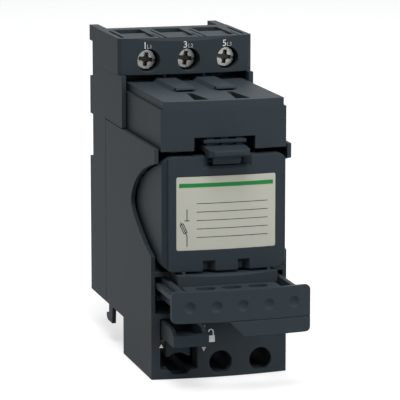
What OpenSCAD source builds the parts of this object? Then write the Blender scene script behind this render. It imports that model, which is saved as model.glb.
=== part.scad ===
// Current limiting disconnector, three poles, for 35 mm rail.
// The parts are drawn from the lower front edge up: x = 0 in the middle,
// y = 0 at the corners of the lower front, z = 0 at the underside.
// Each part is then moved so that the rail seat becomes the origin.

/* [Body] */
// overall width, one standard module
body_w = 45; // [44.6:0.1:46]
// how far the fronts bulge between their two corners
bow = 1.8; // [1.4:0.1:2.2]
// thickness of the outer side walls
wall = 1.3; // [1.1:0.05:1.4]
// distance from one pole to the next
pole_pitch = 13.5; // [13.3:0.05:13.6]
// back plane of the device
back_y = 82.5; // [82.2:0.1:84]
// plane where front and rear housing meet
seam_y = 60; // [59.5:0.1:60.5]
// underside of the part that stands over the device below
step_z = 12.5; // [12.3:0.1:12.7]
// rear end of the lower guide block
guide_y = 36.8; // [36.4:0.1:37]
// top edge of the front housing's side walls
side_z = 75.5; // [75.4:0.05:75.8]

/* [Rail seat] */
// height of the rail's middle
rail_z = 81.15; // [81:0.05:81.3]
// plane against which the rail's flanges rest
rail_y = 78.3; // [78.1:0.05:78.5]
// height of the rail
rail_h = 35; // [34.8:0.1:35.2]
// thickness of the rail's flanges
rail_t = 1; // [0.8:0.1:1.2]
// width of the sliding rail clip
clip_w = 12; // [10:0.5:14]

/* [Terminals] */
// diameter of the terminal screws' heads
head_d = 6.4; // [5.8:0.1:6.8]
// diameter of the screws' shanks
shank_d = 3.9; // [3.6:0.1:4]
// diameter of the screw openings in the terminal block
access_d = 7.6; // [7.2:0.1:8]
// height of the terminal screws
screw_z = 97.55; // [97.3:0.05:97.8]
// width of the wire openings in the top
wire_w = 9.2; // [8.8:0.1:9.4]
// width of the terminal block, a little wider than the body
block_w = 45.6; // [45:0.1:46]
// thickness of the current bars
bar_t = 1.6; // [1.2:0.1:1.8]
// diameter of the screwdriver passages below
guide_d = 7.6; // [7:0.1:7.8]
// height of the screwdriver passages
guide_z = 4.85; // [4.8:0.05:5]

/* [Cartridge] */
// gap between the cartridge and each side wall
cart_gap = 0.8; // [0.6:0.05:1]
// lower and upper edge of the cartridge
cart_z0 = 36.4; // [36.2:0.05:36.6]
cart_z1 = 73; // [72.8:0.05:73.1]
// most forward point of the cartridge
cart_y = -8.7; // [-9.2:0.1:-8.4]
// size of the name plate
plate_w = 32.5; // [28:0.5:33]
plate_h = 23.5; // [20:0.5:24]
// thickness of the contact blades
blade_t = 0.8; // [0.6:0.05:0.9]

/* [Padlock drawer] */
// most forward point of the drawer
drawer_y = -26.8; // [-27.4:0.1:-26.2]
// lower and upper edge of the drawer's front
drawer_z0 = 23.9; // [23.6:0.1:24.2]
drawer_z1 = 33.9; // [33.8:0.05:34.2]
// thickness of the drawer's front
drawer_t = 1.5; // [1.4:0.1:2]
// length and depth of the three padlock holes
lock_hole_l = 6.5; // [5.6:0.1:6.8]
lock_hole_d = 4.5; // [4:0.1:4.6]
// distance from one padlock hole to the next
lock_pitch = 8.45; // [8.2:0.05:8.6]
// diameter of the finger dimples
dimple_d = 3.7; // [3:0.1:4.2]

/* [Lock tab] */
// width of the tab
tab_w = 11.2; // [10.8:0.1:11.4]
// how far the tab stands out in front
tab_l = 15.4; // [12:0.2:17]

/* [Hidden] */
$fn = 48;
half = body_w / 2;
inner = half - wall;
cart_w = 2 * (inner - cart_gap);
nose_w = body_w - 12.2;
element_half = pole_pitch / 2 - 1.95;
carrier_half = inner - 0.3;
arm_x = half - 5.1;
bow_r = (half * half + bow * bow) / (2 * bow);
poles = [-pole_pitch, 0, pole_pitch];
far = 200;
cut = 0.5;
fit = 0.1;
shelf_z0 = 33.6;
shelf_z1 = 35.1;
deck_z = 74.6;
block_z0 = 92.9;
block_z1 = 105;
block_y0 = 38.7;
block_y1 = 70;
chamber_w = 41.2;
cap_w = 39.4;
cap_z0 = 87.7;
cap_z1 = 90.4;
chamber_y0 = -6.6;
chamber_y1 = 48;
carrier_y = 57;
bar_y = carrier_y - bar_t;
jaw_up = [55.5, 61.5];
jaw_low = [45.8, 51.8];
tab_x = -13.7;
tab_y = -tab_l;
hole_y = -21.7;
hole_x = -2.3;
dimple_r = 2.6;
cage_y = 51;
cage_y1 = 63.5;
cage_room = 101.4;
screw_dx = 0.75;
head_y = 43.6;
wall_y = 37.4;
wire_dx = -0.6;
plate_z = 33.85;
back_in = 19.2;
element_y = 19.3;
wire_y = 57.6;

// outline of the finger opening in the side walls, as y and z
grip = [
    [-9, 72], [-5.4, 71.1], [1.6, 69.4], [8.4, 67.3], [12.2, 65.8],
    [15.6, 64.1], [18.6, 62.3], [21.2, 60.4], [23.5, 58.2], [25, 56],
    [25.6, 54.3], [25.3, 52.7], [24, 51.1], [22.2, 49.8], [20.4, 48.7],
    [14.4, 45.5], [7.5, 42.5], [0.6, 40.2], [-9, 37.5]
];

// side outline of the cartridge, as y and z
dee = [
    [-12, 73], [-3.2, 73], [-1.2, 70.1], [6.9, 67.6], [12, 65.9],
    [16.6, 63.9], [20.4, 62.2], [23.7, 60], [26.2, 57.6], [27.8, 55.2],
    [28.4, 53.6], [28, 51.9], [26.6, 50], [23.9, 48], [15.5, 43.9],
    [8.6, 41.6], [3.6, 39.2], [1.4, 36.4], [-12, 36.4]
];

// which part to draw

// a plain block between two corners
module block(x0, x1, y0, y1, z0, z1) {
    translate([x0, y0, z0]) cube([x1 - x0, y1 - y0, z1 - z0]);
}

// a flat outline in y and z, stretched along x
module across(x0, x1) {
    translate([x0, 0, 0]) rotate([90, 0, 90]) linear_extrude(x1 - x0) children();
}

// a flat outline in x and z, stretched along y
module along(y0, y1) {
    translate([0, y1, 0]) rotate([90, 0, 0]) linear_extrude(y1 - y0) children();
}

// a round bar that runs from front to back
module rod(x, z, y0, y1, r) {
    translate([x, y0, z]) rotate([-90, 0, 0]) cylinder(r = r, h = y1 - y0);
}

// everything behind a bulged front whose middle is at y
module behind(y, less = 0) {
    translate([0, y + bow_r, -10]) cylinder(r = bow_r - less, h = 130, $fn = 180);
}

// rounded rectangle, as x and z
module soft_rect(x0, x1, z0, z1, r) {
    translate([x0 + r, z0]) square([x1 - x0 - 2 * r, z1 - z0]);
    translate([x0, z0 + r]) square([x1 - x0, z1 - z0 - 2 * r]);
    for (x = [x0 + r, x1 - r], z = [z0 + r, z1 - r]) translate([x, z]) circle(r);
}

// shifts a part so that the rail seat lies at the origin
module on_rail() {
    translate([0, -rail_y, -rail_z]) children();
}

// fixed moulded parts

module rear_housing() {
    color("#3a4045") difference() {
        union() {
            block(-half, half, seam_y, back_y, step_z, block_z0);
            for (s = [-1, 1]) {
                a = s < 0 ? -half : half - 3;
                block(a, a + 3, block_y1 + 0.1, back_y, block_z0 - cut, block_z1);
                b = s < 0 ? -half : half - 1.5;
                block(b, b + 1.5, wall_y, seam_y + cut, side_z + 0.3, block_z0);
            }
            block(-half + 1, half - 1, block_y1 + 0.1, back_y, block_z0 - cut, 103.4);
        }
        // hollow of the rear part
        block(-half + 1.6, half - 1.6, seam_y - 1, rail_y - 2, step_z + 1.6, block_z0 - 1.6);
        // groove along the seam with the front housing
        for (s = [-1, 1]) {
            block(s * half - 0.4, s * half + 0.4, seam_y - 0.1, seam_y + 0.3, step_z - 1, side_z + 0.5);
        }
        // way down for the current bars
        block(-half + 4, half - 4, seam_y - 1, 68, block_z0 - 3, block_z0 + 1);
        // rail recess, upper and lower part
        block(-half - 1, half + 1, rail_y, back_y + 1, 87.6, 99.8);
        block(-half - 1, half + 1, rail_y, back_y + 1, 59.7, 74.6);
        block(-half - 1, half + 1, back_y - 0.4, back_y + 1, 74, 88);
        // gap between the two halves of the pad that goes into the rail
        block(-7, 7, rail_y, back_y + 1, 74, 88.2);
        // channel of the rail clip, open at the underside
        block(-clip_w / 2 - 0.3, clip_w / 2 + 0.3, rail_y, back_y - 1.5, 11, 60);
        block(-clip_w / 2 + 1, clip_w / 2 - 1, rail_y, back_y + 1, 11, 60);
    }
    // lug that the clip's spring rests on
    color("#3a4045") block(-1.8, 1.8, rail_y - 0.1, rail_y + 2.6, 36.3, 38);
    // fixed hooks over the rail's upper flange
    color("#3a4045") for (s = [-1, 1]) {
        x = s * 13.5 - 4;
        block(x, x + 8, rail_y + rail_t + 0.4, back_y, rail_z + rail_h / 2 - 1.6, 99.9);
    }
}

module side_wall_outline() {
    difference() {
        polygon([
            [-4.5, side_z], [-4.5, 70], [0, 41], [0, 0], [guide_y, 0], [guide_y, step_z],
            [51.7, step_z], [52.4, 6.7], [58.6, 6.7], [60.2, 7.6], [60.2, 9],
            [57.8, 9], [56.9, 9.9], [56.8, step_z], [seam_y, step_z], [seam_y, side_z]
        ]);
        polygon(grip);
    }
}

module screw_passage(x) {
    intersection() {
        rod(x, guide_z, -4, guide_y + 1, guide_d / 2);
        block(x - 6, x + 6, -5, guide_y + 2, guide_z - guide_d / 2 * 0.88, 20);
    }
}

module front_housing() {
    color("#3a4045") difference() {
        union() {
            across(-half, -inner) side_wall_outline();
            across(inner, half) side_wall_outline();
            // lower front, bulged
            intersection() {
                block(-half, half, -3, 0.9, 0, 21.4);
                behind(-bow);
            }
            // floors, walls and decks
            block(-inner - cut, inner + cut, 0.5, guide_y, 0, 1.2);
            block(-inner - cut, inner + cut, guide_y - 1.4, guide_y, 0, step_z + 1.4);
            block(-inner - cut, inner + cut, guide_y - 1.4, seam_y, step_z, step_z + 1.4);
            block(-inner - cut, inner + cut, 3.2, guide_y - 1, 20, 21.4);
            block(-7, inner + cut, 0.5, 4, 20, 21.4);
            intersection() {
                block(-inner - cut, inner + cut, -3, 34, shelf_z0, shelf_z1);
                behind(-bow);
            }
            block(-inner - cut, inner + cut, 8, seam_y, deck_z - 1.3, deck_z);
            // tubes round the screwdriver passages
            for (x = poles) rod(x, guide_z, 3.2, guide_y - 0.5, guide_d / 2 + 1);
            block(-inner - cut, inner + cut, 3.2, 4.6, 0.5, 20.5);
            // nose with its turned-down lip
            intersection() {
                block(-nose_w / 2, nose_w / 2, -12, 0, shelf_z0, 35.6);
                behind(-10.9);
            }
            difference() {
                intersection() {
                    block(-nose_w / 2, nose_w / 2, -12, -4, 32, 35.6);
                    behind(-10.9);
                }
                behind(-10.9, 1.4);
            }
            // stop for the drawer's cross bar
            block(-16, 16, 5.6, 7.2, 31.2, shelf_z0 + cut);
            // small ribs that carry the cartridge
            for (x = [-14, 14]) block(x - 0.5, x + 0.5, -8.4, 1, 35.5, cart_z0);
        }
        for (x = poles) screw_passage(x);
        // opening of the lock tab, with the round passage's flat bottom below
        along(-4, 1.2) {
            soft_rect(tab_x - 6.05, tab_x + 6.05, 3.1, 19.9, 0.6);
            polygon([
                [-17.2, 3.2], [-15.8, guide_z - guide_d / 2 * 0.88],
                [-11.2, guide_z - guide_d / 2 * 0.88], [-9.9, 3.2]
            ]);
        }
        block(tab_x - 7.1, tab_x + 7, 0.9, 3.2, 1.2, 19.9);
        block(tab_x - 6, tab_x + 6, 3, 18, 3.2, 12.6);
        // slots for the bars
        for (x = poles) {
            block(x - 3.2, x + 3.2, bar_y - 0.2, carrier_y + 0.2, deck_z - 2, deck_z + 1);
            block(x - 2.7, x + 2.7, bar_y - 0.2, carrier_y + 0.2, step_z - 1, step_z + 2);
        }
        // bevel on the nose's upper edge
        translate([0, -10.9, 35.6]) rotate([45, 0, 0]) cube([60, 0.9, 0.9], center = true);
    }
}

// dished lead-in before a wire opening, with a front edge that bulges forward
module lead_in(r, y0, z) {
    intersection() {
        translate([0, y0 + r, 0]) cylinder(r = r, h = far, $fn = 96);
        across(-wire_w / 2, wire_w / 2) polygon([
            [y0 - 1, block_z1 + 0.4], [y0 + 2.4, z], [wire_y, z + 0.45], [wire_y, block_z1 + 1],
            [y0 - 1, block_z1 + 1]
        ]);
    }
}

// what stays of the terminal block inside its bevelled front edges
module block_outline() {
    intersection() {
        block(-block_w / 2, block_w / 2, block_y0, block_y1, block_z0, block_z1);
        behind(block_y0);
        across(-half - 1, half + 1) polygon([
            [block_y0 - 1, block_z0 - 1], [block_y0 - 1, block_z1 - 2.2], [block_y0 + 2.2, block_z1 + 1],
            [block_y1 + 1, block_z1 + 1], [block_y1 + 1, block_z0 - 1]
        ]);
        translate([0, 0, block_z0 - 1]) linear_extrude(20) polygon([
            [-block_w / 2 - 1, block_y1 + 1], [-block_w / 2 - 1, block_y0 + 3.9],
            [-block_w / 2 + 2.6, block_y0 + 0.1], [-block_w / 2 + 6, block_y0 - 2],
            [block_w / 2 - 6, block_y0 - 2], [block_w / 2 - 2.6, block_y0 + 0.1],
            [block_w / 2 + 1, block_y0 + 3.9], [block_w / 2 + 1, block_y1 + 1]
        ]);
    }
}

module terminal_block() {
    color("#3a4045") difference() {
        block_outline();
        for (x = poles) {
            // screw opening, its seat and the shank's hole
            rod(x + screw_dx, screw_z, block_y0 - 1, head_y + 2.1, access_d / 2);
            rod(x + screw_dx, screw_z, head_y + 2, 48, shank_d / 2 + fit);
            // chamber of the cage
            block(x + screw_dx - 5.1, x + screw_dx + 5.1, 46.9, 66, 94.2, cage_room);
            // wire opening behind a stepped lead-in
            translate([x + wire_dx, 0, 0]) lead_in(12.6, 42.2, 104.45);
            translate([x + wire_dx, 0, 0]) lead_in(10, 45.2, 104.05);
            block(x + wire_dx - wire_w / 2, x + wire_dx + wire_w / 2, wire_y - 0.01, 64.6, 101, far);
            block(x - 3.2, x + 3.2, bar_y - 0.2, carrier_y + 0.2, block_z0 - 1, 95);
            // narrow slot beside each opening
            block(x + 4.6, x + 5.1, 40, 50.8, 103.2, block_z1 + 1);
        }
        // slots at the ends and between the poles
        for (x = [-20.5, 20.8]) block(x - 0.55, x + 0.55, 43.2, 62.2, 101.5, block_z1 + 1);
        for (x = [-pole_pitch / 2, pole_pitch / 2]) {
            block(x - 0.4, x + 0.4, 39.8, 60.6, 100, block_z1 + 1);
        }
        // lightening hollow behind the cages
        block(-half + 2, half - 2, 66.8, block_y1 - 1.4, block_z0 - 1, 103);
    }
    // small feet between the vent hoods and this block, and a skirt behind them
    color("#3a4045") for (x = [-7, 6.5]) block(x - 0.5, x + 0.5, 41, 42, cap_z1 + 1.25, block_z0 + 0.1);
    color("#3a4045") block(-20, 20, 50.2, 51.2, 88.2, block_z0 + 0.1);
    color("#3a4045") for (x = poles) block(x - 1.5, x + 3.4, 44.5, 45.3, 91.9, block_z0 + 0.1);
}

module contact_carrier() {
    color("#2b2f33") difference() {
        union() {
            block(-carrier_half, carrier_half, carrier_y, carrier_y + 2, step_z + 1.5, deck_z - 1.4);
            for (x = [-pole_pitch / 2, pole_pitch / 2]) {
                block(x - 0.6, x + 0.6, 36.5, carrier_y + 1, step_z + 1.5, deck_z - 1.4);
            }
            for (x = [-carrier_half, carrier_half - 1]) block(x, x + 1, 36.5, carrier_y + 1, 30, 68);
            // ribs that reach back to the rear housing
            for (x = [-19, 18]) block(x, x + 1, carrier_y + 1, 59.9, 20, 70);
        }
        block(-30, 30, 30, 45, 40, 64);
    }
}

module chamber_body() {
    color("#3a4045") difference() {
        intersection() {
            block(-chamber_w / 2, chamber_w / 2, -8, chamber_y1, deck_z, cap_z0);
            behind(chamber_y0);
        }
        for (x = poles) block(x - 5.8, x + 5.8, 7, chamber_y1 - 1.6, deck_z + 1.4, far);
        block(-17, 17, -3.6, 5.6, 80.4, far);
        // notch in which the latch stands
        block(-10, 10, -9, 4.6, 70, 78.8);
    }
}

module vent_hood(x) {
    across(x - 3.2, x + 3.2) polygon([
        [15.4, cap_z1 + 0.5], [16, cap_z1 + 1.2], [46, cap_z1 + 1.2],
        [46, cap_z1 - 0.1], [17.4, cap_z1 - 0.1], [17.4, cap_z1 + 0.5]
    ]);
    for (s = [-1, 1]) translate([x, 0, 0]) scale([s, 1, 1]) along(17.2, 46) polygon([
        [3.1, cap_z1 - 0.1], [4.4, cap_z1 - 0.1], [3.2, cap_z1 + 1.2], [3.1, cap_z1 + 1.2]
    ]);
}

module chamber_cap() {
    color("#3f464b") difference() {
        union() {
            intersection() {
                block(-cap_w / 2, cap_w / 2, -8, chamber_y1, cap_z0, cap_z1);
                behind(chamber_y0);
            }
            for (s = [-1, 1]) vent_hood(s * pole_pitch / 2);
        }
        for (s = [-1, 1]) {
            // wedge-shaped recess before each hood
            translate([s * pole_pitch / 2, 0, cap_z1 - 2.1]) linear_extrude(5) polygon([
                [-0.8, 12.2], [0.8, 12.2], [2.4, -3.6], [-2.4, -3.6]
            ]);
            // vent slot under the hood's front end
            block(s * pole_pitch / 2 - 2.6, s * pole_pitch / 2 + 2.6, 15, 20, 89.4, cap_z1 + 0.36);
        }
    }
}

module arc_plates(k) {
    x = poles[k];
    color("#8d9296") {
        for (i = [0:7]) block(x - 4.6, x + 4.6, 12 + 4 * i, 13 + 4 * i, 77.2, 86.6);
    }
    color("#b9b6a8") for (s = [-1, 1]) {
        a = s < 0 ? x - 5.4 : x + 4.6;
        block(a, a + 0.8, 10, 43, 76.1, 87.6);
    }
}

// terminals and current path

module terminal_screw(k) {
    x = poles[k] + screw_dx;
    color("#b8bab8") difference() {
        union() {
            rod(x, screw_z, head_y, head_y + 1.4, head_d / 2);
            translate([x, head_y + 1.4, screw_z]) rotate([-90, 0, 0])
                cylinder(r1 = head_d / 2, r2 = head_d / 2 - 0.5, h = 0.6);
            rod(x, screw_z, head_y + 1.8, bar_y - 0.5, shank_d / 2);
        }
        // cross recess, with a shallow slot across the whole head
        translate([x, head_y, screw_z]) rotate([0, 8, 0]) {
            cube([1.35, 2.8, 4.6], center = true);
            cube([4.6, 2.8, 1.35], center = true);
            cube([head_d + 1, 0.9, 0.8], center = true);
            rotate([0, 45, 0]) cube([2.6, 1.6, 0.3], center = true);
            rotate([0, -45, 0]) cube([2.6, 1.6, 0.3], center = true);
        }
    }
}

module cage(k) {
    x = poles[k] + screw_dx;
    color("#9a9d9b") difference() {
        block(x - 4.8, x + 4.8, cage_y, cage_y1, 94.6, 100.6);
        block(x - 3.7, x + 3.7, cage_y + 1.8, cage_y1 - 1.2, 94, 103);
        rod(x, screw_z, cage_y - 1, cage_y + 3, shank_d / 2 + 0.05);
    }
}

module line_bar(k) {
    x = poles[k];
    color("#b8783c") block(x - 2.4, x + 3, bar_y, carrier_y, jaw_up[0], cage_room - fit);
}

module link_bar(k) {
    x = poles[k];
    color("#b8783c") block(x - 2.5, x + 2.5, bar_y, carrier_y, 2.4, jaw_low[1]);
}

module jaw(x, z) {
    for (s = [-1, 1]) {
        a = s < 0 ? x - blade_t / 2 - 0.95 : x + blade_t / 2 + 0.05;
        block(a, a + 0.9, 38.4, bar_y, z[0], z[1]);
        b = s < 0 ? x - blade_t / 2 - 1.55 : x + blade_t / 2 + 0.95;
        block(b, b + 0.6, 39.4, 49.6, z[0] + 1, z[1] - 1);
    }
    block(x - 1.35, x + 1.35, bar_y - 1.6, bar_y, z[0], z[1]);
}

module jaws_upper() {
    color("#c08a55") for (x = poles) jaw(x, jaw_up);
}

module jaws_lower() {
    color("#c08a55") for (x = poles) jaw(x, jaw_low);
}

// plug-in cartridge

module corner_cut(s) {
    translate([s * (cart_w / 2 - 1.6), -4.9, 0]) difference() {
        translate([s > 0 ? 0 : -3, -6, 20]) cube([3, 6, 70]);
        translate([0, 0, 10]) cylinder(r = 1.6, h = 90);
    }
}

module cartridge_shell() {
    color("#3b4247") difference() {
        intersection() {
            across(-cart_w / 2, cart_w / 2) polygon(dee);
            along(-12, 40) soft_rect(-cart_w / 2, cart_w / 2, cart_z0, cart_z1, 3.4);
            behind(cart_y);
        }
        for (s = [-1, 1]) corner_cut(s);
        // hollow, open to the back
        across(-cart_w / 2 + 1.4, cart_w / 2 - 1.4) offset(delta = -1.5) polygon([
            [-4.6, 70], [1, 68.6], [12, 65.4], [22, 60], [40, 60],
            [40, 47.6], [22, 47.6], [8, 42.4], [-4.6, 38.6]
        ]);
        block(-cart_w / 2 + 1.4, cart_w / 2 - 1.4, back_in, 40, 40, 70);
        // bed of the name plate
        difference() {
            along(-12, 0) {
                soft_rect(-plate_w / 2 - 0.1, plate_w / 2 + 0.1, 43.2, 43.4 + plate_h, 0.7);
            }
            behind(cart_y, 0.35);
        }
        // recess round the latch and its scooped lower edge
        intersection() {
            translate([0, 0, 60]) linear_extrude(30) polygon([
                [-8.6, -12], [9, -12], [8, -8.2], [5.5, -5.9], [5.5, -3], [-5.3, -3],
                [-5.3, -5.9], [-7.6, -8.2]
            ]);
            across(-12, 12) polygon([
                [-12, 66.8], [-8.7, 69], [-7.8, 69.9], [-3, 69.9], [-3, 90], [-12, 90]
            ]);
        }
        // two notches in the lower edge, flared towards the front
        for (x = [-6, 5.5]) intersection() {
            translate([0, 0, 30]) linear_extrude(20) polygon([
                [x - 2.2, -12], [x + 3.4, -12], [x + 2.5, -8.9], [x + 0.4, -6], [x - 1.6, -6]
            ]);
            across(x - 4, x + 4) polygon([[-12, 30], [-12, 41], [-8.4, 39.7], [-6, 38.6], [-6, 30]]);
        }
        // pivot holes of the latch
        translate([-9.4, -5.4, 71.2]) rotate([0, 90, 0]) cylinder(r = 0.65, h = 18.8);
    }
}

module cartridge_back() {
    color("#2f3438") difference() {
        across(-cart_w / 2 + 1.5, cart_w / 2 - 1.5) polygon([
            [back_in + 0.1, 46], [25.2, 46], [26, 47], [26, 61.2], [25.2, 62.2],
            [back_in + 0.1, 62.2]
        ]);
        for (x = poles) {
            block(x - 0.7, x + 0.7, 19, 30, 46.6, 51);
            block(x - 0.7, x + 0.7, 19, 30, 56.3, 60.7);
        }
    }
}

module name_plate() {
    color("#b4b2a2") difference() {
        intersection() {
            along(-12, 0) soft_rect(-plate_w / 2, plate_w / 2, 43.3, 43.3 + plate_h, 0.6);
            behind(cart_y, 0.05);
        }
        behind(cart_y, 0.35);
    }
}

module latch() {
    color("#3b4247") {
        // tongue to press, wedge-shaped seen from the side
        difference() {
            across(-6.9, 6.5) polygon([
                [-13.8, 74], [-13.8, 75.2], [-13.3, 75.6], [-1, 76.3], [-1, 74.4],
                [-7.5, 74.2], [-9.2, 72.7], [-11.5, 73.2]
            ]);
            for (x = [-6.9, 6.5]) translate([x, -13.8, 70]) rotate([0, 0, 45]) {
                cube([2.2, 2.2, 14], center = true);
            }
        }
        // stem down to the pivot
        block(-4.4, 4.6, -8.1, -4.4, 70.4, 74.6);
        block(-4.4, 4.6, -6.4, -4.4, 70.2, 72.4);
        translate([-9.2, -5.4, 71.2]) rotate([0, 90, 0]) cylinder(r = 0.6, h = 18.4);
        // upper comb on its web, each edge with three teeth
        block(-6.9, 6.9, -6.6, -1, 76.9, 78);
        block(-4.2, 4.2, -4.6, -2, 75.8, 77);
        for (x = [-4.8, 0, 4.8]) {
            block(x - 1.15, x + 1.15, -5.9, -1.4, 77.9, 78.4);
            block(x - 1.15, x + 1.15, -5.6, -4.6, 76, 76.5);
        }
    }
}

module element(k) {
    x = poles[k];
    color("#d8d2c4") difference() {
        block(x - element_half, x + element_half, 1.8, element_y, 48.8, 59.4);
        rod(x, 54.2, 0, 22, 2);
    }
    color("#b0a184") rod(x, 54.2, 2.4, element_y - 0.4, 1.2);
    color("#b0a184") for (y = [2.2, element_y - 1.2]) {
        block(x - 2.1, x + 2.1, y, y + 1, 53.6, 54.8);
    }
}

module blades(k) {
    x = poles[k];
    color("#c9a06a") for (z = [46.8, 56.5]) {
        block(x - blade_t / 2, x + blade_t / 2, element_y, 44, z, z + 4);
    }
}

// drawer and lock tab

module drawer_outline() {
    soft_rect(-half, half, drawer_z0, drawer_z1, 1.5);
    translate([0.4, 18.9]) square([half - 1.9, drawer_z0 - 18]);
    translate([half - 3, 20.4]) square([3, 6]);
    translate([half - 1.5, 20.4]) circle(1.5);
    polygon([[-4.4, drawer_z0 + 0.1], [0.5, 18.9], [3, 18.9], [3, 25]]);
}

module padlock_drawer() {
    px0 = -17.4;
    px1 = 12.9;
    color("#3d444a") difference() {
        union() {
            // bulged front with its lower flap
            difference() {
                intersection() {
                    along(-30, -20) drawer_outline();
                    behind(drawer_y);
                }
                behind(drawer_y, drawer_t);
            }
            // plate with the padlock holes
            intersection() {
                block(px0, px1, -30, -18, plate_z - 1.5, plate_z);
                behind(drawer_y, 0.6);
            }
            // two arms, each an upright with a running flange
            for (s = [-1, 1]) {
                a = s < 0 ? -arm_x - 1.5 : arm_x;
                intersection() {
                    block(a, a + 1.5, -26, 9.2, 26.2, 33.2);
                    behind(drawer_y, 0.6);
                }
                b = s < 0 ? -half + 1.6 : arm_x + 1.4;
                intersection() {
                    block(b, b + 2.1, -26, 9.2, 29.8, 31.4);
                    behind(drawer_y, 0.6);
                }
            }
            block(-arm_x - 1.5, arm_x + 1.5, 7.6, 9.2, 24, 33.1);
        }
        // padlock holes
        for (k = [-1, 0, 1]) translate([hole_x + k * lock_pitch, hole_y, 28]) {
            g = (lock_hole_l - lock_hole_d) / 2;
            translate([-g, -lock_hole_d / 2, 0]) cube([2 * g, lock_hole_d, 10]);
            for (s = [-1, 1]) translate([s * g, 0, 0]) cylinder(r = lock_hole_d / 2, h = 10);
        }
        // finger dimples
        for (k = [-2:2]) {
            x = k * 8.55;
            y = drawer_y + bow_r - sqrt(bow_r * bow_r - x * x);
            rise = sqrt(dimple_r * dimple_r - dimple_d * dimple_d / 4);
            translate([x, y - rise, 28.8]) sphere(r = dimple_r);
        }
        // line between the front and its flap
        difference() {
            block(-4.2, half + 1, -30, -20, 23.75, 24.1);
            behind(drawer_y, 0.3);
        }
    }
}

module lock_tab() {
    x0 = tab_x - tab_w / 2;
    x1 = tab_x + tab_w / 2;
    color("#3d444a") {
        difference() {
            across(x0, x1) polygon([
                [tab_y, 13.9], [tab_y, 17.5], [tab_y + 0.8, 17.6], [tab_y + 1.6, 17.9],
                [tab_y + 2.3, 18.5], [tab_y + 3.1, 19], [tab_y + 4.2, 19.3], [2.8, 19.3],
                [2.8, 13.9]
            ]);
            block(x0 + 1.3, x1 - 1.3, tab_y + 1.3, 1.4, 15.1, 25);
        }
        // flange that keeps the tab behind the front wall
        block(tab_x - 6.8, tab_x + 6.6, 1.4, 2.8, 14.5, 18.9);
        // plate that closes the passage when the tab is down
        along(1.4, 2.8) difference() {
            translate([tab_x - 3.7, 6.9]) square([8.1, 8]);
            translate([tab_x + 0.35, 3.9]) circle(4.2);
        }
    }
}

// rail clip

module rail_clip() {
    color("#2b2f33") difference() {
        union() {
            block(-clip_w / 2, clip_w / 2, rail_y + 0.15, back_y - 1.7, 16, 59);
            block(-clip_w / 2 + 1.3, clip_w / 2 - 1.3, rail_y + 0.15, back_y - 0.3, 12.1, 59);
            // hook under the rail's lower flange
            across(-clip_w / 2 + 1.3, clip_w / 2 - 1.3) polygon([
                [rail_y + 0.15, 58], [rail_y + 0.15, 63.2], [rail_y + rail_t + 0.35, 63.2],
                [rail_y + rail_t + 0.35, 65], [back_y - 0.5, 62.4], [back_y - 0.5, 58]
            ]);
        }
        // room for the lug and the spring
        block(-2.2, 2.2, rail_y - 1, back_y - 0.9, 32.8, 54);
        // screwdriver slot to draw the clip down
        block(-2.6, 2.6, rail_y - 1, back_y + 1, 13.4, 14.8);
    }
}

module clip_spring() {
    color("#a7abad") {
        for (i = [0:6]) translate([0, rail_y + 1.75, 39.2 + 2.2 * i]) {
            rotate_extrude() translate([1.1, 0]) circle(0.3, $fn = 16);
        }
        translate([0, rail_y + 1.75, 38.05]) cylinder(r = 0.85, h = 15.9);
    }
}

on_rail() rear_housing();
on_rail() front_housing();
on_rail() terminal_block();
on_rail() contact_carrier();
on_rail() chamber_body();
on_rail() chamber_cap();
on_rail() arc_plates(0);  // arc_plates_1
on_rail() arc_plates(1);  // arc_plates_2
on_rail() arc_plates(2);  // arc_plates_3
on_rail() terminal_screw(0);  // screw_1
on_rail() terminal_screw(1);  // screw_2
on_rail() terminal_screw(2);  // screw_3
on_rail() cage(0);  // cage_1
on_rail() cage(1);  // cage_2
on_rail() cage(2);  // cage_3
on_rail() line_bar(0);  // line_bar_1
on_rail() line_bar(1);  // line_bar_2
on_rail() line_bar(2);  // line_bar_3
on_rail() link_bar(0);  // link_bar_1
on_rail() link_bar(1);  // link_bar_2
on_rail() link_bar(2);  // link_bar_3
on_rail() jaws_upper();
on_rail() jaws_lower();
on_rail() cartridge_shell();
on_rail() cartridge_back();
on_rail() name_plate();
on_rail() latch();
on_rail() element(0);  // element_1
on_rail() element(1);  // element_2
on_rail() element(2);  // element_3
on_rail() blades(0);  // blades_1
on_rail() blades(1);  // blades_2
on_rail() blades(2);  // blades_3
on_rail() padlock_drawer();
on_rail() lock_tab();
on_rail() rail_clip();
on_rail() clip_spring();
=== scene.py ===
import math

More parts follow.
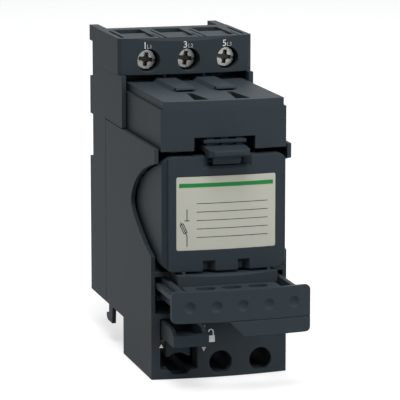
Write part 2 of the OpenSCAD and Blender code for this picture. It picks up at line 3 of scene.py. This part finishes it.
import bmesh
import bpy
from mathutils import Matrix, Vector


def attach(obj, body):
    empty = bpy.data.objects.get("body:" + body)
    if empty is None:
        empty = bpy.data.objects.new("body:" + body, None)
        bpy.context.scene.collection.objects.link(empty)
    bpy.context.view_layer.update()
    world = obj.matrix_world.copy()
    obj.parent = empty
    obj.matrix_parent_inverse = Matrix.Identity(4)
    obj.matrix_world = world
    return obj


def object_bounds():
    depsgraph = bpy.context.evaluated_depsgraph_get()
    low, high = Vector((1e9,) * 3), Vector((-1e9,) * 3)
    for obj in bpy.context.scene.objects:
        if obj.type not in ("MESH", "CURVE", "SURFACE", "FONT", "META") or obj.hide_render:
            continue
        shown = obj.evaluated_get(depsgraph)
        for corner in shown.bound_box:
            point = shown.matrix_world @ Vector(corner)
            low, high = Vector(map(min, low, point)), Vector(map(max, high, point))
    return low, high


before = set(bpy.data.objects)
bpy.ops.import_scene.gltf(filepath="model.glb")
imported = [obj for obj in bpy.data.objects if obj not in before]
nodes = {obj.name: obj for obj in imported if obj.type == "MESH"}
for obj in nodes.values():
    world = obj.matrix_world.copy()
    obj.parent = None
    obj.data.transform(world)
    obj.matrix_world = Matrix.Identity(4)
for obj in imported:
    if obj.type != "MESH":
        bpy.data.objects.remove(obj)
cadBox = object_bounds()
scene = bpy.context.scene

# sizes on the part are in millimetres, from the middle of the housing's lower front edge
mm = 0.001
railSeat = {"y": 78.3, "z": 81.15}   # the rail's plane and middle in that measure
halfWidth = 22.5
frontBulge = 1.8                     # how far every front stands out in its middle
bulgeRadius = (halfWidth ** 2 + frontBulge ** 2) / (2 * frontBulge)
cartridgeFront = -8.7
plateSunk = 0.05                     # from the cartridge's front back to the name plate's
inkLift = 0.03                       # of printed marks off their surface
inkStrip = 1.5                       # widest strip of a printed outline


def place(x, y, z):
    return Vector((x * mm, (y - railSeat["y"]) * mm, (z - railSeat["z"]) * mm))


def bulgedY(front, x):
    # depth of a bulged front at x, when its middle is at front
    return front + bulgeRadius - math.sqrt(bulgeRadius ** 2 - x * x)


def scaled(colour, factor):
    return tuple(c * factor for c in colour)


def startMaterial(name):
    material = bpy.data.materials.new(name)
    material.use_nodes = True
    tree = material.node_tree
    return material, tree, tree.nodes["Principled BSDF"]


def addNoise(tree, scale, detail=2.0, rough=0.5):
    # scale in cells a metre
    coords = tree.nodes.get("partCoords") or tree.nodes.new("ShaderNodeTexCoord")
    coords.name = "partCoords"
    noise = tree.nodes.new("ShaderNodeTexNoise")
    noise.inputs["Scale"].default_value = scale
    noise.inputs["Detail"].default_value = detail
    noise.inputs["Roughness"].default_value = rough
    tree.links.new(coords.outputs["Object"], noise.inputs["Vector"])
    return noise.outputs["Fac"]


def remap(tree, value, low, high, fromLow=0.0, fromHigh=1.0):
    node = tree.nodes.new("ShaderNodeMapRange")
    node.inputs["From Min"].default_value = fromLow
    node.inputs["From Max"].default_value = fromHigh
    node.inputs["To Min"].default_value = low
    node.inputs["To Max"].default_value = high
    tree.links.new(value, node.inputs["Value"])
    return node.outputs["Result"]


def mixColours(tree, factor, first, second):
    node = tree.nodes.new("ShaderNodeMix")
    node.data_type = "RGBA"
    tree.links.new(factor, node.inputs["Factor"])
    # sockets 6 and 7 are the colours A and B
    for socket, colour in ((node.inputs[6], first), (node.inputs[7], second)):
        if isinstance(colour, tuple):
            socket.default_value = (*colour, 1.0)
        else:
            tree.links.new(colour, socket)
    return node.outputs[2]


def roundedNormal(tree, radius):
    bevel = tree.nodes.new("ShaderNodeBevel")
    bevel.samples = 6
    bevel.inputs["Radius"].default_value = radius * mm
    return bevel.outputs["Normal"]


def edgeAmount(tree, normal, reach):
    # 0 on a flat, towards reach where the rounded normal leaves the true one
    geometry = tree.nodes.new("ShaderNodeNewGeometry")
    dot = tree.nodes.new("ShaderNodeVectorMath")
    dot.operation = "DOT_PRODUCT"
    tree.links.new(geometry.outputs["Normal"], dot.inputs[0])
    tree.links.new(normal, dot.inputs[1])
    edgeCosine, flatCosine = 0.86, 0.995
    return remap(tree, dot.outputs["Value"], reach, 0.0, edgeCosine, flatCosine)


def varyRoughness(tree, shader, noise, look):
    smoother, rougher = look["roughSpread"]
    usualLow, usualHigh = 0.3, 0.7   # most of a noise lies between these
    spread = remap(tree, noise, look["roughness"] - smoother, look["roughness"] + rougher,
                   usualLow, usualHigh)
    tree.links.new(spread, shader.inputs["Roughness"])


def addBump(tree, shader, height, look, normal=None):
    bump = tree.nodes.new("ShaderNodeBump")
    bump.inputs["Distance"].default_value = look["grainDepth"] * mm
    bump.inputs["Strength"].default_value = look["bumpStrength"]
    tree.links.new(height, bump.inputs["Height"])
    if normal is not None:
        tree.links.new(normal, bump.inputs["Normal"])
    tree.links.new(bump.outputs["Normal"], shader.inputs["Normal"])


def mouldedPlastic(name, look):
    # slightly uneven colour, fine grain, and paler rounded edges that are partly rub wear and partly a
    # painted highlight
    material, tree, shader = startMaterial(name)
    base = look["colour"]
    grain = addNoise(tree, look["grain"], detail=3.0, rough=0.6)
    flow = addNoise(tree, look["flow"])
    skin = mixColours(tree, flow, scaled(base, 1 - look["unevenness"]), scaled(base, 1 + look["unevenness"]))
    edge = roundedNormal(tree, look["edgeRadius"])
    # paler edges: partly rub wear, partly a painted highlight along the rounded edges
    wearAndHighlightColour = tuple(c * look["wearAndHighlightGain"] + look["wearAndHighlightLift"] for c in base)
    colour = mixColours(tree, edgeAmount(tree, edge, look["edgeWearAndHighlight"]), skin, wearAndHighlightColour)
    tree.links.new(colour, shader.inputs["Base Color"])
    varyRoughness(tree, shader, grain, look)
    shader.inputs["Specular IOR Level"].default_value = look["shine"]
    addBump(tree, shader, grain, look, edge)
    return material


def platedMetal(name, look):
    # bright metal with dull clouds, and painted shade that deepens with depth into a recess
    material, tree, shader = startMaterial(name)
    base = look["colour"]
    cloud = addNoise(tree, look["grain"] * look["cloudShare"], detail=3.0)
    grain = addNoise(tree, look["grain"])
    colour = mixColours(tree, cloud, scaled(base, look["dullness"]), base)
    # painted shade: the colour darkens towards the floor of the screw's cross recess, and on the head's
    # sides
    if "recess" in look:
        front, floor = [(y - railSeat["y"]) * mm for y in look["recess"]]
        split = tree.nodes.new("ShaderNodeSeparateXYZ")
        tree.links.new(tree.nodes["partCoords"].outputs["Object"], split.inputs[0])
        depth = remap(tree, split.outputs["Y"], 0.0, 1.0, front, floor)
        colour = mixColours(tree, depth, colour, look["grime"])
    tree.links.new(colour, shader.inputs["Base Color"])
    varyRoughness(tree, shader, grain, look)
    shader.inputs["Metallic"].default_value = 1.0
    addBump(tree, shader, grain, look, roundedNormal(tree, look["edgeRadius"]))
    return material


def printedFilm(name, look):
    # paper fibres and faint stains
    material, tree, shader = startMaterial(name)
    base = look["colour"]
    fibre = addNoise(tree, look["fibre"], detail=4.0, rough=0.65)
    stain = addNoise(tree, look["stain"])
    colour = mixColours(tree, stain, scaled(base, look["dim"]), scaled(base, look["pale"]))
    tree.links.new(colour, shader.inputs["Base Color"])
    varyRoughness(tree, shader, fibre, look)
    shader.inputs["Specular IOR Level"].default_value = look["shine"]
    addBump(tree, shader, fibre, look)
    return material


plasticLook = {
    "colour": (0.036, 0.0465, 0.0545),
    "roughness": 0.5,
    "roughSpread": (0.06, 0.08),
    "shine": 0.04,
    "grain": 5200.0,
    "grainDepth": 0.016,
    "bumpStrength": 0.6,
    "flow": 45.0,
    "unevenness": 0.05,
    "edgeRadius": 0.28,
    # the edge entries paint paler rounded edges, partly rub wear and partly a painted highlight
    "edgeWearAndHighlight": 0.5,
    "wearAndHighlightGain": 1.5,
    "wearAndHighlightLift": 0.004,
}
housingPlastic = mouldedPlastic("slateHousingPlastic", plasticLook)
capPlastic = mouldedPlastic("slateCapPlastic", {**plasticLook, "colour": (0.039, 0.050, 0.0585)})
cartridgePlastic = mouldedPlastic("cartridgePlastic", {
    **plasticLook, "colour": (0.033, 0.0435, 0.0525), "roughness": 0.47, "edgeRadius": 0.5})
drawerPlastic = mouldedPlastic("drawerPlastic", {
    **plasticLook, "colour": (0.035, 0.0465, 0.056), "roughness": 0.46, "edgeRadius": 0.3})
innerPlastic = mouldedPlastic("innerBlackPlastic", {
    **plasticLook, "colour": (0.018, 0.020, 0.022), "roughness": 0.6, "edgeRadius": 0.15})

metalLook = {
    "roughSpread": (0.08, 0.12),
    "bumpStrength": 0.5,
    "cloudShare": 0.12,       # of the grain's scale
    "dullness": 0.78,
}
# the screws' recess entry paints shade into their cross recesses
screwMetal = platedMetal("zincScrewMetal", {
    **metalLook, "colour": (0.40, 0.405, 0.39), "roughness": 0.3,
    "grain": 2600.0, "grainDepth": 0.012, "edgeRadius": 0.08,
    "recess": (43.7, 44.35), "grime": (0.035, 0.035, 0.033)})
cageMetal = platedMetal("zincCageMetal", {
    **metalLook, "colour": (0.48, 0.49, 0.48), "roughness": 0.42,
    "grain": 3000.0, "grainDepth": 0.02, "edgeRadius": 0.1})
springMetal = platedMetal("springWire", {
    **metalLook, "colour": (0.55, 0.56, 0.57), "roughness": 0.3,
    "grain": 6000.0, "grainDepth": 0.008, "edgeRadius": 0.05})
plateMetal = platedMetal("splitterSteel", {
    **metalLook, "colour": (0.42, 0.43, 0.44), "roughness": 0.4,
    "grain": 2600.0, "grainDepth": 0.015, "edgeRadius": 0.08})
tinnedMetal = platedMetal("tinnedBar", {
    **metalLook, "colour": (0.54, 0.54, 0.52), "roughness": 0.38,
    "grain": 3400.0, "grainDepth": 0.012, "edgeRadius": 0.1})
copper = platedMetal("bareCopper", {
    **metalLook, "colour": (0.72, 0.36, 0.20), "roughness": 0.34,
    "grain": 3400.0, "grainDepth": 0.012, "edgeRadius": 0.1})
platedCopper = platedMetal("platedCopper", {
    **metalLook, "colour": (0.74, 0.66, 0.55), "roughness": 0.3,
    "grain": 3600.0, "grainDepth": 0.01, "edgeRadius": 0.1})
elementCeramic = mouldedPlastic("elementCeramic", {
    **plasticLook, "colour": (0.62, 0.58, 0.5), "roughness": 0.6, "edgeRadius": 0.2, "edgeWearAndHighlight": 0.0})

filmLook = {
    "colour": (0.50, 0.50, 0.43),
    "roughness": 0.42,
    "roughSpread": (0.05, 0.05),
    "shine": 0.25,
    "fibre": 2600.0,
    "grainDepth": 0.006,
    "bumpStrength": 0.4,
    "stain": 70.0,
    "dim": 0.955,
    "pale": 1.03,
}
plateFilm = printedFilm("creamPlateFilm", filmLook)
whiteInk = printedFilm("whiteInk", {
    **filmLook, "colour": (0.78, 0.79, 0.80), "roughness": 0.5, "shine": 0.3})
greyInk = printedFilm("greyInk", {
    **filmLook, "colour": (0.45, 0.47, 0.49), "roughness": 0.5, "shine": 0.3})
greenInk = printedFilm("greenInk", {**filmLook, "colour": (0.009, 0.20, 0.040), "shine": 0.2})
blackInk = printedFilm("blackInk", {**filmLook, "colour": (0.012, 0.012, 0.013), "shine": 0.2})

finishes = {
    "rear_housing": housingPlastic, "front_housing": housingPlastic, "terminal_block": housingPlastic,
    "contact_carrier": innerPlastic, "chamber_body": housingPlastic, "chamber_cap": capPlastic,
    "jaws_upper": tinnedMetal, "jaws_lower": tinnedMetal,
    "cartridge_shell": cartridgePlastic, "cartridge_back": innerPlastic, "name_plate": plateFilm,
    "latch": cartridgePlastic, "padlock_drawer": drawerPlastic, "lock_tab": drawerPlastic,
    "rail_clip": innerPlastic, "clip_spring": springMetal,
}
for pole in (1, 2, 3):
    finishes[f"arc_plates_{pole}"] = plateMetal
    finishes[f"screw_{pole}"] = screwMetal
    finishes[f"cage_{pole}"] = cageMetal
    finishes[f"line_bar_{pole}"] = tinnedMetal
    finishes[f"link_bar_{pole}"] = copper
    finishes[f"element_{pole}"] = elementCeramic
    finishes[f"blades_{pole}"] = platedCopper
for nodeName, material in finishes.items():
    for slot in nodes[nodeName].material_slots:
        slot.material = material
print("finishes on", len(finishes), "parts")


def finishPiece(name, mesh, material, body):
    piece = bpy.data.objects.new(name, mesh)
    scene.collection.objects.link(piece)
    mesh.materials.append(material)
    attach(piece, body)
    return piece


def printOutlines(name, outlines, ink, surface):
    # flat outlines in x and z, cut into narrow strips so that they follow the bulged front
    shape = bmesh.new()
    for outline in outlines:
        corners = [shape.verts.new((x, 0.0, z)) for x, z in outline]
        shape.faces.new(corners)
    lowest = min(v.co.x for v in shape.verts)
    highest = max(v.co.x for v in shape.verts)
    steps = max(1, int((highest - lowest) / inkStrip))
    for i in range(1, steps):
        x = lowest + (highest - lowest) * i / steps
        bmesh.ops.bisect_plane(shape, geom=shape.verts[:] + shape.edges[:] + shape.faces[:],
                               plane_co=(x, 0, 0), plane_no=(1, 0, 0))
    for v in shape.verts:
        v.co = place(v.co.x, bulgedY(surface["front"], v.co.x) - inkLift, v.co.z)
    bmesh.ops.recalc_face_normals(shape, faces=shape.faces[:])
    for face in shape.faces:
        if face.normal.y > 0:
            face.normal_flip()
    mesh = bpy.data.meshes.new(name)
    shape.to_mesh(mesh)
    shape.free()
    return finishPiece(name, mesh, ink, surface["body"])


def printWord(name, word, left, base, height, ink, surface):
    # left and base are the word's left and lower edges
    curve = bpy.data.curves.new(name, "FONT")
    curve.body = word
    curve.size = 1.0
    curve.resolution_u = 4
    helper = bpy.data.objects.new(name + "Helper", curve)
    scene.collection.objects.link(helper)
    bpy.context.view_layer.update()
    graph = bpy.context.evaluated_depsgraph_get()
    mesh = bpy.data.meshes.new_from_object(helper.evaluated_get(graph))
    bpy.data.objects.remove(helper)
    mesh.name = name
    ownLeft = min(v.co.x for v in mesh.vertices)
    ownBase = min(v.co.y for v in mesh.vertices)
    ownHeight = max(v.co.y for v in mesh.vertices) - ownBase
    for v in mesh.vertices:
        x = left + (v.co.x - ownLeft) * height / ownHeight
        z = base + (v.co.y - ownBase) * height / ownHeight
        v.co = place(x, bulgedY(surface["front"], x) - inkLift, z)
    mesh.materials.clear()
    return finishPiece(name, mesh, ink, surface["body"])


def boxOutline(x0, x1, z0, z1):
    return [(x0, z0), (x1, z0), (x1, z1), (x0, z1)]


def lineOutline(start, end, width):
    # a straight printed line as a narrow four-cornered outline
    run = (end - start).normalized() * width / 2
    across = Vector((-run.y, run.x))
    return [start + across, end + across, end - across, start - across]


def arrowOutline(x, z, width, height):
    # the arrow's base at z; a height below zero turns it over
    return [(x - width / 2, z), (x + width / 2, z), (x, z + height)]


terminalMarks = {
    "front": 38.7,
    "body": "housing",
    "slot": "housing",
    "base": 101.55,           # lower edge of the numbers
    "numberHeight": 2.15,
    "markHeight": 1.25,
    "markRise": 0.05,         # of the small marks above the numbers' lower edge
    "poles": (                # each number and mark, with its left edge
        ("1", -14.15, "L1", -13.3),
        ("3", -1.05, "L2", 0.55),
        ("5", 12.5, "L3", 14.1),
    ),
}
for pole, (number, numberLeft, mark, markLeft) in enumerate(terminalMarks["poles"], 1):
    base = terminalMarks["base"]
    printWord(f"terminalNumber{pole}", number, numberLeft, base,
              terminalMarks["numberHeight"], whiteInk, terminalMarks)
    printWord(f"terminalMark{pole}", mark, markLeft, base + terminalMarks["markRise"],
              terminalMarks["markHeight"], greyInk, terminalMarks)

platePrint = {
    "front": cartridgeFront + plateSunk,
    "body": "cartridge",
    "slot": "label",
    "stripe": (-15.4, 15.4, 63.4, 64.7),
    "ruledFrom": -9.8,
    "ruledTo": 13.6,
    "ruledTop": 58.2,
    "ruledPitch": 2.7,
    "ruledLines": 5,
    "ruledWidth": 0.2,
}
printOutlines("plateStripe", [boxOutline(*platePrint["stripe"])], greenInk, platePrint)
ruled = []
for i in range(platePrint["ruledLines"]):
    z = platePrint["ruledTop"] - platePrint["ruledPitch"] * i
    ruled.append(lineOutline(Vector((platePrint["ruledFrom"], z)), Vector((platePrint["ruledTo"], z)),
                             platePrint["ruledWidth"]))
printOutlines("plateRuledLines", ruled, blackInk, platePrint)

fuseSymbol = {
    "x": -12.9,
    "bottom": 44.5,           # from here the lower lead runs up to the hinge
    "hinge": 47.95,
    "contact": 52.85,
    "top": 56.5,
    "contactHalf": 0.8,
    "lean": (-0.42, 0.91),    # direction of the open blade
    "blade": 4.9,
    "fuseFrom": 1.1,          # the fuse's ends along the blade
    "fuseTo": 4.2,
    "fuseHalf": 0.55,
    "capHalf": 0.64,
    "line": 0.27,
    "fuseLine": 0.25,
}


def fuseOutlines(look):
    foot, hinge, contact, top = [Vector((look["x"], look[z])) for z in ("bottom", "hinge", "contact", "top")]
    lean = Vector(look["lean"]).normalized()
    side = Vector((lean.y, -lean.x))
    contactArm = Vector((look["contactHalf"], 0.0))
    outlines = [
        lineOutline(contact, top, look["line"]),
        lineOutline(contact - contactArm, contact + contactArm, look["line"]),
        lineOutline(foot, hinge, look["line"]),
        lineOutline(hinge, hinge + lean * look["blade"], look["line"]),
    ]
    near = hinge + lean * look["fuseFrom"]
    far = hinge + lean * look["fuseTo"]
    for wall in (side * -look["fuseHalf"], side * look["fuseHalf"]):
        outlines.append(lineOutline(near + wall, far + wall, look["fuseLine"]))
    cap = side * look["capHalf"]
    for end in (near, far):
        outlines.append(lineOutline(end - cap, end + cap, look["fuseLine"]))
    return outlines


printOutlines("plateFuseSymbol", fuseOutlines(fuseSymbol), blackInk, platePrint)

frontMarks = {
    "front": -frontBulge,
    "body": "housing",
    "slot": "housing",
    "arrows": (               # name, ink, x, base, width and height
        ("tabArrowWhite", whiteInk, -19.4, 10.4, 1.3, 1.3),
        ("tabArrowUp", greyInk, -5.5, 16.6, 1.0, 0.95),
        ("tabArrowDown", greyInk, -5.6, 10.1, 1.5, -1.4),
    ),
}
for name, ink, x, base, width, height in frontMarks["arrows"]:
    printOutlines(name, [arrowOutline(x, base, width, height)], ink, frontMarks)

padlockSign = {
    "x": -2.9,
    "z": 11.6,                # lower edge of its body
    "bodyHalf": 0.95,
    "bodyHeight": 2.2,
    "shackleX": -0.35,        # the open shackle stands to the left
    "shackleZ": 3.4,
    "shackleOuter": 0.95,
    "shackleInner": 0.6,
    "shackleSteps": 12,
    "legFrom": 2.1,
    "legTo": 3.45,
}


def padlockOutlines(look):
    x, z = look["x"], look["z"]
    outer, inner = look["shackleOuter"], look["shackleInner"]
    middleX = x + look["shackleX"]
    middleZ = z + look["shackleZ"]
    outlines = [
        boxOutline(x - look["bodyHalf"], x + look["bodyHalf"], z, z + look["bodyHeight"]),
        boxOutline(middleX + inner, middleX + outer, z + look["legFrom"], z + look["legTo"]),
    ]
    for i in range(look["shackleSteps"]):
        start = math.pi * i / look["shackleSteps"]
        end = math.pi * (i + 1) / look["shackleSteps"]
        corners = ((outer, start), (outer, end), (inner, end), (inner, start))
        outlines.append([(middleX + r * math.cos(a), middleZ + r * math.sin(a)) for r, a in corners])
    return outlines


printOutlines("lockPictogram", padlockOutlines(padlockSign), whiteInk, frontMarks)
print("printed marks done")


def seenDirectly(tree):
    # 1 for rays that show the backdrop itself, 0 for those that light the part
    lightPath = tree.nodes.new("ShaderNodeLightPath")
    seen = lightPath.outputs["Is Camera Ray"]
    for ray in ("Is Glossy Ray", "Is Transmission Ray"):
        larger = tree.nodes.new("ShaderNodeMath")
        larger.operation = "MAXIMUM"
        tree.links.new(seen, larger.inputs[0])
        tree.links.new(lightPath.outputs[ray], larger.inputs[1])
        seen = larger.outputs[0]
    return seen


# the studio is in metres
studioFloor = {
    "size": 12.0,
    "gap": 0.0002,            # below the part
    "colour": (0.55, 0.55, 0.55),
    "glow": 0.66,             # lifts the floor to white where it is seen, and lights nothing
    "roughness": 0.9,
    "shine": 0.1,
    "paperGrain": 900.0,
    "paperDim": 0.98,
}


def paleFloorMaterial(look):
    material, tree, shader = startMaterial("paleFloor")
    shader.inputs["Roughness"].default_value = look["roughness"]
    shader.inputs["Specular IOR Level"].default_value = look["shine"]
    grain = addNoise(tree, look["paperGrain"])
    colour = mixColours(tree, grain, scaled(look["colour"], look["paperDim"]), look["colour"])
    tree.links.new(colour, shader.inputs["Base Color"])
    glow = tree.nodes.new("ShaderNodeMath")
    glow.operation = "MULTIPLY"
    glow.inputs[1].default_value = look["glow"]
    tree.links.new(seenDirectly(tree), glow.inputs[0])
    shader.inputs["Emission Color"].default_value = (1, 1, 1, 1)
    tree.links.new(glow.outputs[0], shader.inputs["Emission Strength"])
    return material


floorMesh = bpy.data.meshes.new("studioFloor")
reach = studioFloor["size"] / 2
low = cadBox[0][2] - studioFloor["gap"]
floorCorners = [(-reach, -reach, low), (reach, -reach, low), (reach, reach, low), (-reach, reach, low)]
floorMesh.from_pydata(floorCorners, [], [(0, 1, 2, 3)])
floor = bpy.data.objects.new("studioFloor", floorMesh)
scene.collection.objects.link(floor)
floorMesh.materials.append(paleFloorMaterial(studioFloor))

studioWorld = {
    "skyColour": (0.93, 0.97, 1.0, 1),
    "skyLight": 0.17,
    "seenLight": 1.0,
}
world = bpy.data.worlds.new("studioWorld")
scene.world = world
world.use_nodes = True
tree = world.node_tree
sky = tree.nodes["Background"]
sky.inputs["Color"].default_value = studioWorld["skyColour"]
sky.inputs["Strength"].default_value = studioWorld["skyLight"]
white = tree.nodes.new("ShaderNodeBackground")
white.inputs["Strength"].default_value = studioWorld["seenLight"]
mix = tree.nodes.new("ShaderNodeMixShader")
tree.links.new(seenDirectly(tree), mix.inputs[0])
tree.links.new(sky.outputs[0], mix.inputs[1])
tree.links.new(white.outputs[0], mix.inputs[2])
tree.links.new(mix.outputs[0], tree.nodes["World Output"].inputs["Surface"])

lookAt = Vector((0.0, -0.06, -0.03))
studioLamps = {
    "keyLamp": {"spot": (-0.15, -0.5, 1.1), "size": 0.7, "watts": 11.5},
    "fillLamp": {"spot": (0.7, -1.1, 0.35), "size": 0.9, "watts": 6.6},
    "rimLamp": {"spot": (0.3, 0.9, 0.8), "size": 0.8, "watts": 2.5},
}
for name, look in studioLamps.items():
    lampLight = bpy.data.lights.new(name, "AREA")
    lampLight.shape = "DISK"
    lampLight.size = look["size"]
    lampLight.energy = look["watts"]
    lamp = bpy.data.objects.new(name, lampLight)
    scene.collection.objects.link(lamp)
    lamp.location = look["spot"]
    lamp.rotation_euler = (lookAt - Vector(look["spot"])).to_track_quat("-Z", "Y").to_euler()

# lens and film width in millimetres, angles in degrees
photoCamera = {
    "spot": (-0.22689, -0.8612, 0.12749),
    "azimuth": -15.73,
    "elevation": 10.51,
    "lens": 234.4,
    "filmWidth": 36.0,
    "nearest": 0.02,
    "farthest": 30.0,
}
cameraData = bpy.data.cameras.new("photoCamera")
cameraData.lens = photoCamera["lens"]
cameraData.sensor_width = photoCamera["filmWidth"]
cameraData.clip_start = photoCamera["nearest"]
cameraData.clip_end = photoCamera["farthest"]
camera = bpy.data.objects.new("photoCamera", cameraData)
scene.collection.objects.link(camera)
camera.location = photoCamera["spot"]
camera.rotation_euler = (math.radians(90 - photoCamera["elevation"]), 0.0,
                         math.radians(photoCamera["azimuth"]))
scene.camera = camera
scene.view_settings.view_transform = "Standard"
print("studio and camera done")
